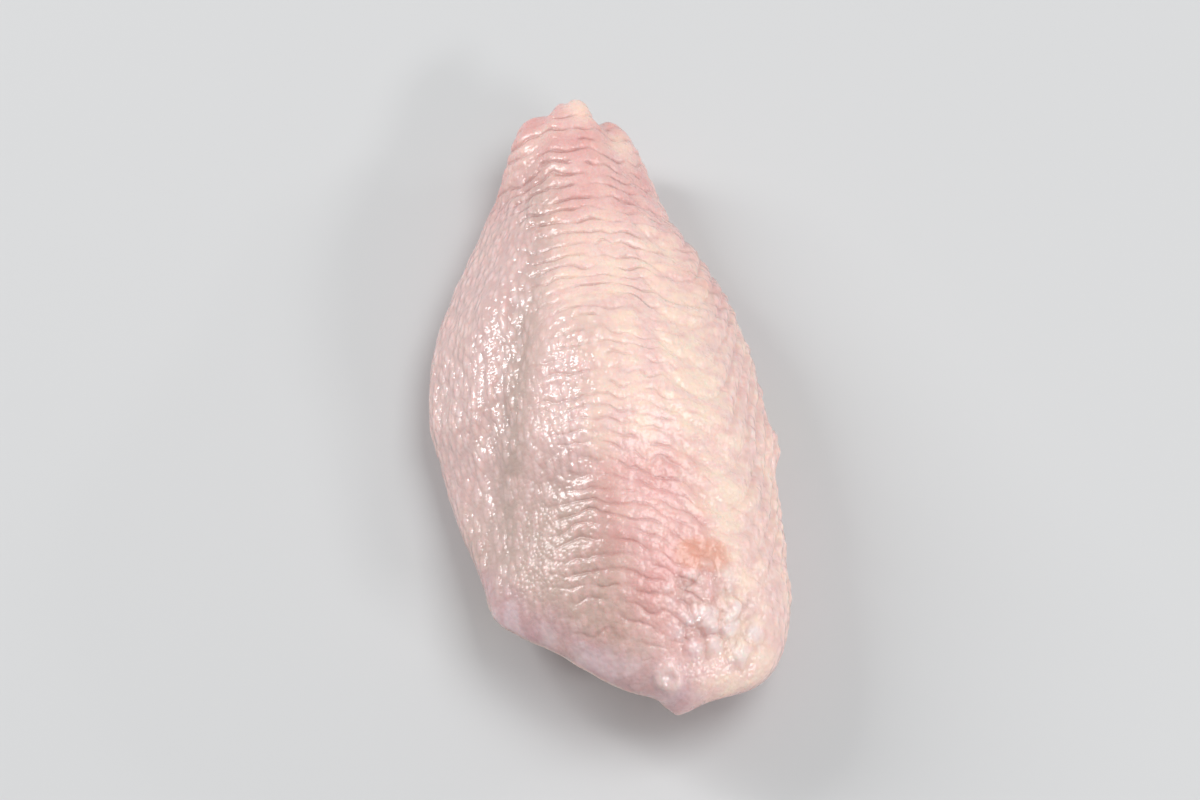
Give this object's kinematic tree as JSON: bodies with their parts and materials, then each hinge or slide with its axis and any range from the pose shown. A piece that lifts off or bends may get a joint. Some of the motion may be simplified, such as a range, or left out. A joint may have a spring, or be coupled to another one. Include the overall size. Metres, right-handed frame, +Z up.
{
  "type": "raw chicken wing",
  "caption": "Raw chicken wing flat, the middle joint of the wing, skin on, with bone ends showing at its cuts. It lies ridged side up.",
  "frame": {"origin": "middle of the box round the wing, on the surface that it rests on", "axes": "+Z up out of the ridged outer side, +Y along the wing to the wrist end, -Y to the elbow end, +X to the trailing edge"},
  "size_m": [0.0418, 0.0836, 0.0226],
  "materials": {
    "flesh": "wet",
    "bone": "wet"
  },
  "bodies": {
    "root": {"flesh": "flesh", "ulna": "bone", "radius": "bone"}
  },
  "joints": []
}
